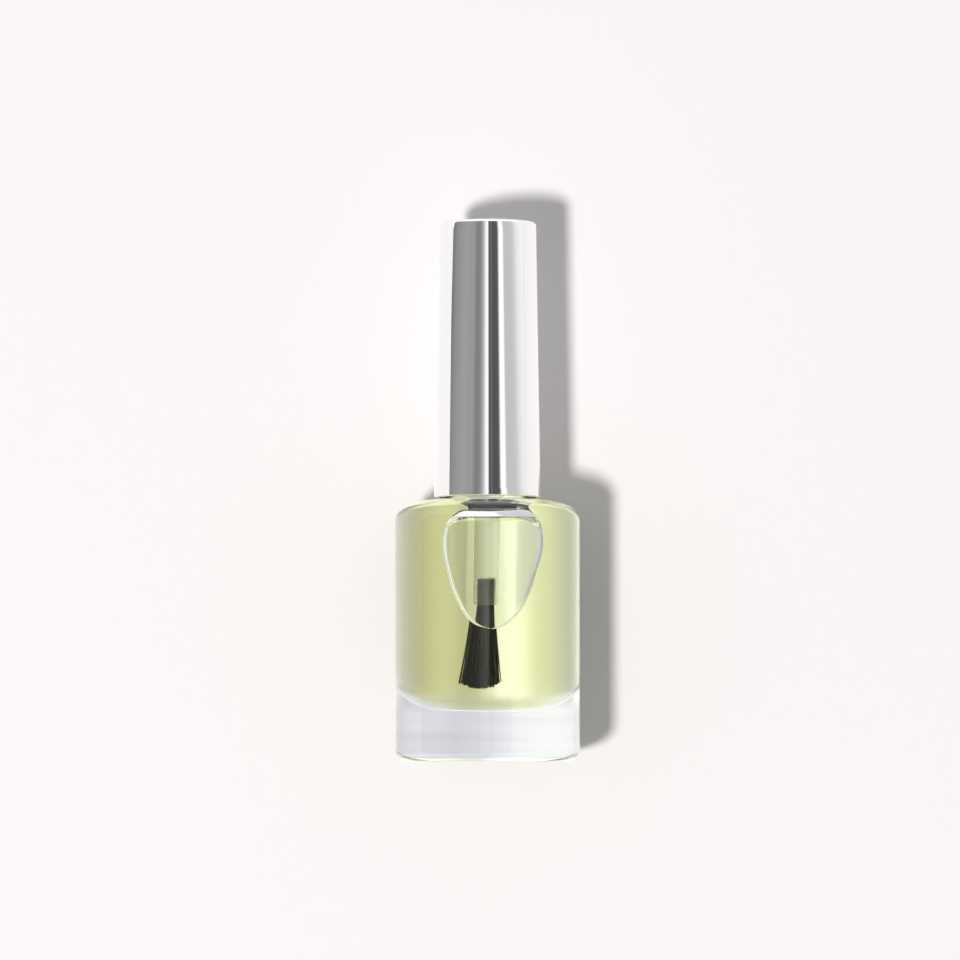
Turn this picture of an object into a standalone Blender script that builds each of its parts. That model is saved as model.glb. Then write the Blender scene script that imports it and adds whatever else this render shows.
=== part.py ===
"""Glass oil bottle with a tall chromed brush cap.

Metres, +Z up. The origin is the centre of the circle that the bottle stands on,
and everything turned shares the vertical axis through it.
"""

import math

import bmesh
import bpy
from mathutils import Matrix, Vector

# Clearances shared by the pieces
SEAT_GAP = 0.0003
SOCKET_GAP = 0.0002
CUT_OVERRUN = 0.0005
MERGE_DISTANCE = 0.00001

# Roundness of the turned pieces, in steps to the full circle
OUTER_STEPS = 60
INNER_STEPS = 48
SMALL_STEPS = 32
SHARP_EDGE_DEG = 32.0
ARC_STEP_DEG = 20.0

# Glass bottle, outside
BOTTLE_RADIUS = 0.0140
BOTTLE_HEIGHT = 0.0396
SHOULDER_LAND_RADIUS = 0.0070
SHOULDER_DOME_RADIUS = 0.0151
SHOULDER_CORNER_RADIUS = 0.0026
HEEL_RADIUS = 0.0019
STANDING_RING_WIDTH = 0.0034
PUSH_UP_HEIGHT = 0.0007
PUSH_UP_EDGE = 0.0012

# Glass bottle, neck
NECK_RADIUS = 0.0055
NECK_HEIGHT = 0.0112
NECK_BORE_RADIUS = 0.0035
NECK_FOOT_FILLET = 0.0007
LIP_FILLET = 0.0005

# Glass bottle, inside
WALL_THICKNESS = 0.0043
BASE_THICKNESS = 0.0074
CEILING_THICKNESS = 0.0019
CAVITY_HEEL_RADIUS = 0.0060
CAVITY_CORNER_RADIUS = 0.0016
THROAT_FLARE_RADIUS = 0.0021

# Air bubble that lies against the front wall
BUBBLE_HALF_WIDTH = 0.0080
BUBBLE_DEPTH = 0.0022
BUBBLE_HALF_LENGTH = 0.0141
BUBBLE_HEIGHT = 0.0339
BUBBLE_OFFSET_X = 0.0009
BUBBLE_WALL_INSET = 0.0006
BUBBLE_STEPS = 40

# Chromed outer sleeve
SLEEVE_FOOT_RADIUS = 0.0081
SLEEVE_TOP_RADIUS = 0.00745
SLEEVE_HEIGHT = 0.0417
SLEEVE_WALL = 0.0007
SLEEVE_CROWN = 0.0009
SLEEVE_RIM_BEVEL = 0.0005
SLEEVE_FOOT_EDGE = 0.0002

# Moulded closure inside the sleeve
SPLINE_COUNT = 24
SPLINE_HEIGHT = 0.00022
SPLINE_WIDTH = 0.0007
SKIRT_BORE_RADIUS = 0.00635
SKIRT_LEAD_IN = 0.0003
WEB_THICKNESS = 0.0014
HOLLOW_RADIUS = 0.0052
HOLLOW_FLOOR_FILLET = 0.0008

# Sealing liner
LINER_THICKNESS = 0.0009
LINER_EDGE_INSET = 0.0004

# Brush stem
STEM_TOP_RADIUS = 0.0020
STEM_END_RADIUS = 0.0018
STEM_END_HEIGHT = 0.0231
STEM_HEAD_RADIUS = 0.0033
STEM_HEAD_LENGTH = 0.0052
STEM_FLANGE_RADIUS = 0.0059
STEM_FLANGE_THICKNESS = 0.0009
STEM_HEAD_CHAMFER = 0.0005
STEM_END_BEVEL = 0.0002
TUFT_SOCKET_DEPTH = 0.0042

# Bristle tuft and the staple that anchors it
TUFT_ROOT_RADIUS = 0.00125
TUFT_TIP_RADIUS = 0.0021
TUFT_TIP_HEIGHT = 0.0107
TUFT_TIP_CROWN = 0.0009
BACKING_LENGTH = 0.0026
STRAND_COUNT = 300
STRAND_RADIUS = 0.00005
STRAND_TIP_SHARE = 0.6
STAPLE_LENGTH = 0.0026
STAPLE_HEIGHT = 0.0007
STAPLE_THICKNESS = 0.00035

# Heights worked out from the sizes above
NECK_TOP = BOTTLE_HEIGHT + NECK_HEIGHT
SLEEVE_FOOT_HEIGHT = BOTTLE_HEIGHT + SEAT_GAP
SLEEVE_TOP_HEIGHT = SLEEVE_FOOT_HEIGHT + SLEEVE_HEIGHT
LINER_FOOT_HEIGHT = NECK_TOP + SEAT_GAP
LINER_TOP_HEIGHT = LINER_FOOT_HEIGHT + LINER_THICKNESS
FLANGE_FOOT_HEIGHT = LINER_TOP_HEIGHT + SEAT_GAP
FLANGE_TOP_HEIGHT = FLANGE_FOOT_HEIGHT + STEM_FLANGE_THICKNESS
HEAD_TOP_HEIGHT = FLANGE_TOP_HEIGHT + STEM_HEAD_LENGTH
TUFT_SOCKET_TOP = STEM_END_HEIGHT + TUFT_SOCKET_DEPTH
BACKING_TOP = TUFT_SOCKET_TOP - SOCKET_GAP
BACKING_FOOT = BACKING_TOP - BACKING_LENGTH


def arc(centre, radius, start_deg, end_deg):
    """Points of an arc in the half plane of radius and height, both ends included."""
    steps = max(2, math.ceil(abs(end_deg - start_deg) / ARC_STEP_DEG))
    points = []
    for step in range(steps + 1):
        angle = math.radians(start_deg + (end_deg - start_deg) * step / steps)
        points.append((centre[0] + radius * math.cos(angle), centre[1] + radius * math.sin(angle)))
    return points


def chain(*stretches):
    """One outline from several stretches, with a point that repeats the last one left out."""
    points = []
    for stretch in stretches:
        for point in stretch:
            if not points or math.dist(point, points[-1]) > MERGE_DISTANCE:
                points.append(point)
    return points


def dome_and_corner(land, dome_radius, corner_radius, wall_radius, top):
    """A shoulder from its flat land to the side wall: a wide dome that runs into a tight corner."""
    lean = math.asin((wall_radius - corner_radius - land) / (dome_radius - corner_radius))
    dome_centre = (land, top - dome_radius)
    reach = dome_radius - corner_radius
    corner_centre = (wall_radius - corner_radius, dome_centre[1] + reach * math.cos(lean))
    join_deg = 90.0 - math.degrees(lean)
    dome = arc(dome_centre, dome_radius, 90.0, join_deg)
    corner = arc(corner_centre, corner_radius, join_deg, 0.0)
    return chain(dome, corner)


def paint(name, colour, roughness, metallic=0.0, transmission=0.0, ior=1.45):
    """One Principled material."""
    material = bpy.data.materials.new(name)
    material.use_nodes = True
    shader = material.node_tree.nodes["Principled BSDF"]
    shader.inputs["Base Color"].default_value = (*colour, 1.0)
    shader.inputs["Roughness"].default_value = roughness
    shader.inputs["Metallic"].default_value = metallic
    shader.inputs["Transmission Weight"].default_value = transmission
    shader.inputs["IOR"].default_value = ior
    return material


def add_object(name, mesh, collection, material=None):
    """Put a mesh in the scene as one named object."""
    item = bpy.data.objects.new(name, mesh)
    collection.objects.link(item)
    if material is not None:
        mesh.materials.append(material)
    return item


def turned(name, profile, steps, collection, material=None):
    """A profile of (radius, height) points, turned round the vertical axis by a Screw modifier."""
    mesh = bpy.data.meshes.new(name)
    vertices = [(radius, 0.0, height) for radius, height in profile]
    edges = [(index, index + 1) for index in range(len(profile) - 1)]
    if profile[0][0] > 0.0:
        edges.append((len(profile) - 1, 0))
    mesh.from_pydata(vertices, edges, [])
    item = add_object(name, mesh, collection, material)
    screw = item.modifiers.new("Turn", "SCREW")
    screw.axis = "Z"
    screw.angle = math.tau
    screw.steps = steps
    screw.render_steps = steps
    screw.use_merge_vertices = True
    screw.merge_threshold = MERGE_DISTANCE
    screw.use_smooth_shade = True
    return item


def bake(item):
    """Replace an object's mesh by its evaluated one, so that cutters can work on a plain solid."""
    bpy.context.view_layer.update()
    graph = bpy.context.evaluated_depsgraph_get()
    mesh = bpy.data.meshes.new_from_object(item.evaluated_get(graph))
    item.modifiers.clear()
    item.data = mesh
    return item


def smooth(item):
    """Smooth shading with the true corners kept sharp."""
    item.data.shade_smooth()
    item.data.set_sharp_from_angle(angle=math.radians(SHARP_EDGE_DEG))


def hide_cutter(item):
    """Keep a cutter out of renders and show it as a wire."""
    item.hide_render = True
    item.display_type = "WIRE"


def combine(item, cutter, operation):
    """An exact Boolean with one cutter, kept live on the object."""
    modifier = item.modifiers.new(operation.title(), "BOOLEAN")
    modifier.operation = operation
    modifier.solver = "EXACT"
    modifier.object = cutter
    hide_cutter(cutter)


def cavity_radius():
    """Inner radius of the bottle's body."""
    return BOTTLE_RADIUS - WALL_THICKNESS


def ceiling_height():
    """Height of the cavity's ceiling beside the throat."""
    return BOTTLE_HEIGHT - CEILING_THICKNESS


def throat_flare(inset):
    """The bell mouth where the neck's bore opens into the cavity, run from the bore outwards."""
    radius = THROAT_FLARE_RADIUS + inset
    centre = (NECK_BORE_RADIUS + THROAT_FLARE_RADIUS, ceiling_height() + THROAT_FLARE_RADIUS)
    return arc(centre, radius, 180.0, 270.0)


def cavity_shoulder(inset):
    """The cavity's ceiling and upper corner, run from the throat outwards."""
    land = NECK_BORE_RADIUS + THROAT_FLARE_RADIUS
    wall = cavity_radius() - inset
    corner = CAVITY_CORNER_RADIUS - inset
    dome = SHOULDER_DOME_RADIUS - CEILING_THICKNESS
    return dome_and_corner(land, dome, corner, wall, ceiling_height() - inset)


def cavity_heel(inset):
    """The cavity's lower corner, run down the wall and in along the floor."""
    radius = CAVITY_HEEL_RADIUS - inset
    centre = (cavity_radius() - CAVITY_HEEL_RADIUS, BASE_THICKNESS + CAVITY_HEEL_RADIUS)
    return arc(centre, radius, 0.0, -90.0)


def bottle_profile():
    """The glass wall: up the inside, over the lip and down the outside to the push-up."""
    inner_lip = (NECK_BORE_RADIUS + LIP_FILLET, NECK_TOP - LIP_FILLET)
    outer_lip = (NECK_RADIUS - LIP_FILLET, NECK_TOP - LIP_FILLET)
    neck_foot = (NECK_RADIUS + NECK_FOOT_FILLET, BOTTLE_HEIGHT + NECK_FOOT_FILLET)
    shoulder = dome_and_corner(
        SHOULDER_LAND_RADIUS, SHOULDER_DOME_RADIUS, SHOULDER_CORNER_RADIUS, BOTTLE_RADIUS, BOTTLE_HEIGHT
    )
    heel = (BOTTLE_RADIUS - HEEL_RADIUS, HEEL_RADIUS)
    ring_inside = BOTTLE_RADIUS - HEEL_RADIUS - STANDING_RING_WIDTH
    push_up = [(ring_inside, 0.0), (ring_inside - PUSH_UP_EDGE, PUSH_UP_HEIGHT), (0.0, PUSH_UP_HEIGHT)]
    return chain(
        [(0.0, BASE_THICKNESS)],
        reversed(cavity_heel(0.0)),
        reversed(cavity_shoulder(0.0)),
        reversed(throat_flare(0.0)),
        arc(inner_lip, LIP_FILLET, 180.0, 90.0),
        arc(outer_lip, LIP_FILLET, 90.0, 0.0),
        arc(neck_foot, NECK_FOOT_FILLET, 180.0, 270.0),
        shoulder,
        arc(heel, HEEL_RADIUS, 0.0, -90.0),
        push_up,
    )


def build_bottle(collection, material):
    """The glass bottle, one turned shell that is open at the lip."""
    bottle = bake(turned("glass_bottle", bottle_profile(), OUTER_STEPS, collection, material))
    smooth(bottle)
    return bottle


def oil_profile():
    """The oil: it keeps the seat gap to the glass, and leaves a well that the brush swings in."""
    top = ceiling_height() + THROAT_FLARE_RADIUS
    well_radius = brush_sweep_radius() + SEAT_GAP
    well_floor = TUFT_TIP_HEIGHT - SEAT_GAP
    return chain(
        [(0.0, well_floor), (well_radius, well_floor), (well_radius, top)],
        throat_flare(SEAT_GAP),
        cavity_shoulder(SEAT_GAP),
        cavity_heel(SEAT_GAP),
        [(0.0, BASE_THICKNESS + SEAT_GAP)],
    )


def brush_sweep_radius():
    """Half the widest part of the brush below the neck."""
    return max(STEM_TOP_RADIUS, TUFT_TIP_RADIUS + STRAND_RADIUS)


def build_bubble_cutter(collection):
    """The bubble as a ball stretched along the bottle and pressed flat against its front."""
    mesh = bpy.data.meshes.new("bubble_cutter")
    work = bmesh.new()
    bmesh.ops.create_uvsphere(work, u_segments=BUBBLE_STEPS, v_segments=BUBBLE_STEPS // 2, radius=1.0)
    bmesh.ops.scale(work, vec=(BUBBLE_HALF_WIDTH, BUBBLE_DEPTH, BUBBLE_HALF_LENGTH), verts=work.verts)
    work.to_mesh(mesh)
    work.free()
    cutter = add_object("bubble_cutter", mesh, collection)
    cutter.location = (BUBBLE_OFFSET_X, BUBBLE_WALL_INSET - cavity_radius(), BUBBLE_HEIGHT)
    return cutter


def build_oil(collection, cutters, material):
    """The oil's body with the air bubble cut from its front."""
    oil = bake(turned("oil", oil_profile(), INNER_STEPS, collection, material))
    combine(oil, build_bubble_cutter(cutters), "DIFFERENCE")
    smooth(oil)
    return oil


def sleeve_radius(height):
    """Outer radius of the tapered sleeve at a height."""
    share = (height - SLEEVE_FOOT_HEIGHT) / SLEEVE_HEIGHT
    return SLEEVE_FOOT_RADIUS + (SLEEVE_TOP_RADIUS - SLEEVE_FOOT_RADIUS) * share


def sleeve_profile():
    """The drawn sleeve: crown, bevelled rim, tapered wall, open foot and the inside again."""
    rim_height = SLEEVE_TOP_HEIGHT - SLEEVE_RIM_BEVEL
    rim = (sleeve_radius(rim_height) - SLEEVE_RIM_BEVEL, rim_height)
    foot_outer = (SLEEVE_FOOT_RADIUS - SLEEVE_FOOT_EDGE, SLEEVE_FOOT_HEIGHT + SLEEVE_FOOT_EDGE)
    foot_inner_radius = SLEEVE_FOOT_RADIUS - SLEEVE_WALL
    ceiling = SLEEVE_TOP_HEIGHT - SLEEVE_CROWN
    inside = [
        (foot_inner_radius, SLEEVE_FOOT_HEIGHT),
        (sleeve_radius(ceiling) - SLEEVE_WALL, ceiling),
        (0.0, ceiling),
    ]
    return chain(
        [(0.0, SLEEVE_TOP_HEIGHT)],
        arc(rim, SLEEVE_RIM_BEVEL, 90.0, 0.0),
        arc(foot_outer, SLEEVE_FOOT_EDGE, 0.0, -90.0),
        inside,
    )


def build_sleeve(collection, material):
    """The chromed outer sleeve."""
    sleeve = bake(turned("cap_sleeve", sleeve_profile(), OUTER_STEPS, collection, material))
    smooth(sleeve)
    return sleeve


def core_radius(height):
    """Outer radius of the closure between its splines."""
    return sleeve_radius(height) - SLEEVE_WALL - SEAT_GAP - SPLINE_HEIGHT


def core_top():
    """Top of the closure, just under the sleeve's crown."""
    return SLEEVE_TOP_HEIGHT - SLEEVE_CROWN - SEAT_GAP


def inner_cap_profile():
    """The closure: skirt over the neck, socket for the stem's head, web, and a hollow above."""
    top = core_top()
    foot = SLEEVE_FOOT_HEIGHT
    skirt_ceiling = FLANGE_TOP_HEIGHT + SEAT_GAP
    socket_radius = STEM_HEAD_RADIUS + SOCKET_GAP
    socket_top = HEAD_TOP_HEIGHT + SEAT_GAP
    hollow_floor = socket_top + WEB_THICKNESS
    hollow_corner = (HOLLOW_RADIUS - HOLLOW_FLOOR_FILLET, hollow_floor + HOLLOW_FLOOR_FILLET)
    outside = [(HOLLOW_RADIUS, top), (core_radius(top), top), (core_radius(foot), foot)]
    skirt = [
        (SKIRT_BORE_RADIUS + SKIRT_LEAD_IN, foot),
        (SKIRT_BORE_RADIUS, foot + SKIRT_LEAD_IN),
        (SKIRT_BORE_RADIUS, skirt_ceiling),
    ]
    socket = [(socket_radius, skirt_ceiling), (socket_radius, socket_top), (0.0, socket_top)]
    return chain(
        [(0.0, hollow_floor)],
        arc(hollow_corner, HOLLOW_FLOOR_FILLET, -90.0, 0.0),
        outside,
        skirt,
        socket,
    )


def build_splines(collection):
    """A ring of tapered ribs that follow the closure's slope, rooted inside its wall."""
    foot = SLEEVE_FOOT_HEIGHT + SPLINE_WIDTH
    top = core_top() - SPLINE_WIDTH
    length = top - foot
    lean = math.atan2(core_radius(foot) - core_radius(top), length)
    radial = SPLINE_HEIGHT + CUT_OVERRUN / 2.0
    centre_radius = (core_radius(foot) + core_radius(top)) / 2.0 + SPLINE_HEIGHT - radial / 2.0
    mesh = bpy.data.meshes.new("splines")
    work = bmesh.new()
    for index in range(SPLINE_COUNT):
        turn = Matrix.Rotation(math.tau * index / SPLINE_COUNT, 4, "Z")
        shift = Matrix.Translation(Vector((centre_radius, 0.0, (foot + top) / 2.0)))
        tilt = Matrix.Rotation(-lean, 4, "Y")
        size = Matrix.Diagonal((radial, SPLINE_WIDTH, length / math.cos(lean), 1.0))
        bmesh.ops.create_cube(work, size=1.0, matrix=turn @ shift @ tilt @ size)
    work.to_mesh(mesh)
    work.free()
    return add_object("splines", mesh, collection)


def build_inner_cap(collection, cutters, material):
    """The moulded closure with its splines joined on."""
    closure = bake(turned("inner_cap", inner_cap_profile(), INNER_STEPS, collection, material))
    combine(closure, build_splines(cutters), "UNION")
    smooth(closure)
    return closure


def build_liner(collection, material):
    """The soft ring between the neck's lip and the stem's flange."""
    outer = NECK_RADIUS - LINER_EDGE_INSET
    inner = STEM_TOP_RADIUS + SEAT_GAP
    profile = [
        (inner, LINER_TOP_HEIGHT),
        (outer, LINER_TOP_HEIGHT),
        (outer, LINER_FOOT_HEIGHT),
        (inner, LINER_FOOT_HEIGHT),
    ]
    liner = bake(turned("sealing_liner", profile, SMALL_STEPS, collection, material))
    smooth(liner)
    return liner


def stem_profile():
    """The rod: pressed head, flange, tapered shank and the socket for the tuft."""
    socket_radius = TUFT_ROOT_RADIUS + SOCKET_GAP
    return [
        (0.0, HEAD_TOP_HEIGHT),
        (STEM_HEAD_RADIUS - STEM_HEAD_CHAMFER, HEAD_TOP_HEIGHT),
        (STEM_HEAD_RADIUS, HEAD_TOP_HEIGHT - STEM_HEAD_CHAMFER),
        (STEM_HEAD_RADIUS, FLANGE_TOP_HEIGHT),
        (STEM_FLANGE_RADIUS, FLANGE_TOP_HEIGHT),
        (STEM_FLANGE_RADIUS, FLANGE_FOOT_HEIGHT),
        (STEM_TOP_RADIUS, FLANGE_FOOT_HEIGHT),
        (STEM_END_RADIUS, STEM_END_HEIGHT + STEM_END_BEVEL),
        (STEM_END_RADIUS - STEM_END_BEVEL, STEM_END_HEIGHT),
        (socket_radius, STEM_END_HEIGHT),
        (socket_radius, TUFT_SOCKET_TOP),
        (0.0, TUFT_SOCKET_TOP),
    ]


def build_stem(collection, material):
    """The brush's stem."""
    stem = bake(turned("brush_stem", stem_profile(), SMALL_STEPS, collection, material))
    smooth(stem)
    return stem


def strand_reach():
    """How far from the axis the outermost strand is rooted."""
    return TUFT_ROOT_RADIUS - 2.0 * STRAND_RADIUS


def strand_root(index):
    """Place of one strand in the tuft's root: seeds of a sunflower, evenly spread on a disc."""
    golden_turn = math.pi * (3.0 - math.sqrt(5.0))
    radius = strand_reach() * math.sqrt((index + 0.5) / STRAND_COUNT)
    angle = golden_turn * index
    return Vector((radius * math.cos(angle), radius * math.sin(angle), 0.0))


def build_strands(collection):
    """The bristles, each a slim three-sided prism that fans out and thins towards its tip."""
    spread = TUFT_TIP_RADIUS / strand_reach()
    root_height = BACKING_FOOT + SOCKET_GAP
    mesh = bpy.data.meshes.new("strands")
    work = bmesh.new()
    for index in range(STRAND_COUNT):
        root = strand_root(index)
        crown = (root.length / strand_reach()) ** 2
        tip = root * spread
        tip.z = TUFT_TIP_HEIGHT + TUFT_TIP_CROWN * crown
        root.z = root_height
        rings = []
        for place, radius in ((root, STRAND_RADIUS), (tip, STRAND_RADIUS * STRAND_TIP_SHARE)):
            ring = []
            for corner in range(3):
                angle = math.tau * corner / 3.0
                offset = Vector((radius * math.cos(angle), radius * math.sin(angle), 0.0))
                ring.append(work.verts.new(place + offset))
            rings.append(ring)
        work.faces.new(rings[0])
        work.faces.new(list(reversed(rings[1])))
        for corner in range(3):
            after = (corner + 1) % 3
            work.faces.new((rings[0][corner], rings[1][corner], rings[1][after], rings[0][after]))
    bmesh.ops.recalc_face_normals(work, faces=work.faces)
    work.to_mesh(mesh)
    work.free()
    return add_object("strands", mesh, collection)


def build_tuft(collection, cutters, material):
    """The folded root of the tuft with its strands fused on and a slot for the staple."""
    profile = [
        (0.0, BACKING_TOP),
        (TUFT_ROOT_RADIUS, BACKING_TOP),
        (TUFT_ROOT_RADIUS, BACKING_FOOT),
        (0.0, BACKING_FOOT),
    ]
    tuft = bake(turned("bristle_tuft", profile, SMALL_STEPS, collection, material))
    slot_mesh = bpy.data.meshes.new("staple_slot")
    work = bmesh.new()
    bmesh.ops.create_cube(work, size=1.0)
    size = (
        2.0 * (TUFT_ROOT_RADIUS + CUT_OVERRUN),
        STAPLE_THICKNESS + 2.0 * SOCKET_GAP,
        STAPLE_HEIGHT + 2.0 * SOCKET_GAP,
    )
    bmesh.ops.scale(work, vec=size, verts=work.verts)
    work.to_mesh(slot_mesh)
    work.free()
    slot = add_object("staple_slot", slot_mesh, cutters)
    slot.location = (0.0, 0.0, staple_height())
    combine(tuft, slot, "DIFFERENCE")
    combine(tuft, build_strands(cutters), "UNION")
    smooth(tuft)
    return tuft


def staple_height():
    """Height of the staple's middle, half way up the tuft's folded root."""
    return (BACKING_TOP + BACKING_FOOT) / 2.0


def build_staple(collection, material):
    """The flat metal anchor that the tuft is folded over."""
    mesh = bpy.data.meshes.new("bristle_staple")
    work = bmesh.new()
    bmesh.ops.create_cube(work, size=1.0)
    bmesh.ops.scale(work, vec=(STAPLE_LENGTH, STAPLE_THICKNESS, STAPLE_HEIGHT), verts=work.verts)
    work.to_mesh(mesh)
    work.free()
    staple = add_object("bristle_staple", mesh, collection, material)
    staple.location = (0.0, 0.0, staple_height())
    return staple


def clear_scene():
    """Remove what the scene holds."""
    for item in list(bpy.data.objects):
        bpy.data.objects.remove(item, do_unlink=True)


def build_all():
    """Build every piece, and hang what the cap carries on an empty that lies on its axis."""
    clear_scene()
    parts = bpy.data.collections.new("oil_bottle")
    cutters = bpy.data.collections.new("cutters")
    bpy.context.scene.collection.children.link(parts)
    bpy.context.scene.collection.children.link(cutters)

    build_bottle(parts, paint("flint_glass", (0.93, 0.95, 0.94), 0.02, transmission=1.0, ior=1.52))
    build_oil(parts, cutters, paint("oil_fill", (0.78, 0.80, 0.42), 0.02, transmission=1.0, ior=1.47))
    carried = [
        build_sleeve(parts, paint("chromed_sleeve", (0.78, 0.78, 0.79), 0.04, metallic=1.0)),
        build_inner_cap(parts, cutters, paint("moulded_closure", (0.03, 0.03, 0.031), 0.40)),
        build_liner(parts, paint("liner_foam", (0.88, 0.88, 0.86), 0.70)),
        build_stem(parts, paint("stem_plastic", (0.80, 0.82, 0.78), 0.45)),
        build_tuft(parts, cutters, paint("bristle_nylon", (0.015, 0.015, 0.014), 0.35)),
        build_staple(parts, paint("staple_steel", (0.62, 0.61, 0.58), 0.30, metallic=1.0)),
    ]
    axis = bpy.data.objects.new("cap_axis", None)
    parts.objects.link(axis)
    for item in carried:
        item.parent = axis


build_all()
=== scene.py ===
import math
from functools import partial

import bmesh
import bpy
import numpy as np
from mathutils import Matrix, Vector


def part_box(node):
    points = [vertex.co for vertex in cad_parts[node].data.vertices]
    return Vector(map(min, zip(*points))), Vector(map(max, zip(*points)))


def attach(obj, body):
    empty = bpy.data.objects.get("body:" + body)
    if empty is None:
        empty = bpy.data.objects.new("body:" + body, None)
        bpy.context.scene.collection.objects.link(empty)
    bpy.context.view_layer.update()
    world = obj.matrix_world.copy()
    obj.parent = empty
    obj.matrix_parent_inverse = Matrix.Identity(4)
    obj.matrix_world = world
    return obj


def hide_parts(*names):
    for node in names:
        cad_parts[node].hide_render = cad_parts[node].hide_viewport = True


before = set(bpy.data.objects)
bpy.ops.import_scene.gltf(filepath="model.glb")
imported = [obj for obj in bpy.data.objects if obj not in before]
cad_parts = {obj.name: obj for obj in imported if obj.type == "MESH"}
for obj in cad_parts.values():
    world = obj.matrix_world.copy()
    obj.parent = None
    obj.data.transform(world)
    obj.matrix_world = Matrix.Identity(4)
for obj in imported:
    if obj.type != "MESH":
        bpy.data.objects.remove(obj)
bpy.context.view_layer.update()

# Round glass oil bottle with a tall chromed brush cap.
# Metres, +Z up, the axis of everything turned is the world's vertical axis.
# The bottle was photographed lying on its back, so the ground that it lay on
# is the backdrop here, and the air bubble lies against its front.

MM = 0.001


def node_box(name):
    """Lowest and highest corner of a node of the frame."""
    low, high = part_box(name)
    return Vector(low), Vector(high)


# Sizes read from the frame
BOTTLE_LOW, BOTTLE_HIGH = node_box("glass_bottle")
SLEEVE_LOW, SLEEVE_HIGH = node_box("cap_sleeve")
CLOSURE_LOW, CLOSURE_HIGH = node_box("inner_cap")
LINER_LOW, LINER_HIGH = node_box("sealing_liner")
STEM_LOW, STEM_HIGH = node_box("brush_stem")
TUFT_LOW, TUFT_HIGH = node_box("bristle_tuft")
STAPLE_LOW, STAPLE_HIGH = node_box("bristle_staple")

BOTTLE_RADIUS = BOTTLE_HIGH.x
NECK_TOP = BOTTLE_HIGH.z
SLEEVE_FOOT = SLEEVE_LOW.z
SLEEVE_TOP = SLEEVE_HIGH.z
SLEEVE_FOOT_RADIUS = SLEEVE_HIGH.x
SEAT_GAP = 0.3 * MM
SHOULDER_TOP = SLEEVE_FOOT - SEAT_GAP

# Roundness of the turned pieces
BODY_STEPS = 256
SMALL_STEPS = 96
ARC_STEP_DEG = 5.0
SHARP_DEG = 35.0
SAME_PLACE = 0.002 * MM

# Bottle glass
SHOULDER_LAND_RADIUS = 7.0 * MM
SHOULDER_DOME_RADIUS = 15.1 * MM
SHOULDER_CORNER_RADIUS = 2.6 * MM
HEEL_RADIUS = 1.9 * MM
STANDING_RING_WIDTH = 3.4 * MM
PUSH_UP_HEIGHT = 0.7 * MM
PUSH_UP_EDGE = 1.2 * MM
NECK_RADIUS = 5.5 * MM
NECK_BORE_RADIUS = 3.5 * MM
NECK_FOOT_FILLET = 0.7 * MM
LIP_FILLET = 0.5 * MM
WALL_THICKNESS = 4.3 * MM
BASE_THICKNESS = 7.4 * MM
CEILING_THICKNESS = 2.7 * MM
CAVITY_RADIUS = BOTTLE_RADIUS - WALL_THICKNESS
CEILING_HEIGHT = SHOULDER_TOP - CEILING_THICKNESS
CAVITY_HEEL_RADIUS = 6.0 * MM
CORNER_SLOPE_DROP = 0.16 * MM
CORNER_SLOPE_HEIGHT = 0.32 * MM
CORNER_SLOPE_WIDTH = 0.355 * MM
CORNER_SLOPE_EDGE = 0.15 * MM
THROAT_FLARE_RADIUS = 2.1 * MM
WALL_ROW_HEIGHT = 1.0 * MM

# Screw thread of the neck and of the closure
THREAD_PITCH = 2.1 * MM
THREAD_DEPTH = 0.65 * MM
THREAD_TURNS = 2.0
THREAD_FOOT_ABOVE_SHOULDER = 3.4 * MM
THREAD_FOOT = SHOULDER_TOP + THREAD_FOOT_ABOVE_SHOULDER
THREAD_ROW_HEIGHT = 0.12 * MM
THREAD_FADE_TURNS = 0.12
THREAD_FLANK = (0.36, 0.12)
THREAD_WALL_MARGIN = 0.01 * MM

# Oil and the air in it
OIL_LEVEL_BELOW_LIP = 2.0 * MM
OIL_LEVEL = NECK_TOP - OIL_LEVEL_BELOW_LIP
OIL_FILM = 0.01 * MM
OIL_DEPTH_OF_COLOUR = 56.0
OIL_SHARP_DEG = 50.0
BUBBLE_EDGE_RADIUS = 0.6 * MM
BUBBLE_EDGE_SHARE = 0.4
BUBBLE_EDGE_MOST = 0.95
BUBBLE_TOP_RADIUS = 0.5 * MM
BUBBLE_TOP_RISE = 0.4 * MM
BUBBLE_LEVEL_HEIGHT = 33.0 * MM
BUBBLE_ROWS = 90
BUBBLE_ROW_HEIGHT = 0.06 * MM
BUBBLE_FRONT_STEPS = 60
BUBBLE_EDGE_STEPS = 9
BUBBLE_BACK_STEPS = 39
BUBBLE_SAMPLES = 2000

# Edge of the air bubble, from its tip up. Millimetres along the wall, which count as height up to the
# corner and then on inwards, half width in millimetres, and compass angle of its middle in degrees
BUBBLE_EDGE = [
    (19.83, 0.0, 2.9), (19.98, 0.7, 2.9), (20.28, 1.75, 2.7), (20.73, 2.4, 2.7), (21.49, 3.2, 2.9),
    (22.7, 3.98, 3.6), (23.9, 4.52, 3.8), (25.1, 5.0, 3.9), (26.6, 5.43, 3.9), (28.45, 5.84, 4.2),
    (30.0, 6.2, 4.9), (31.5, 6.46, 5.5), (32.9, 6.55, 5.8), (33.7, 6.52, 5.8), (34.7, 6.38, 5.9),
    (35.6, 6.15, 6.0), (36.23, 5.82, 6.0), (36.6, 5.3, 6.1), (36.9, 4.75, 6.1), (37.02, 4.3, 5.8),
    (37.1, 3.7, 5.2), (37.2, 3.3, 4.8), (37.4, 3.2, 4.7), (37.6, 3.2, 4.5), (37.8, 3.25, 4.2),
    (38.05, 3.5, 3.8), (39.5, 3.6, 3.8),
]
BUBBLE_CORNER_START = 36.3
BUBBLE_SMOOTHED_OVER = (0.95, 0.12)

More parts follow.
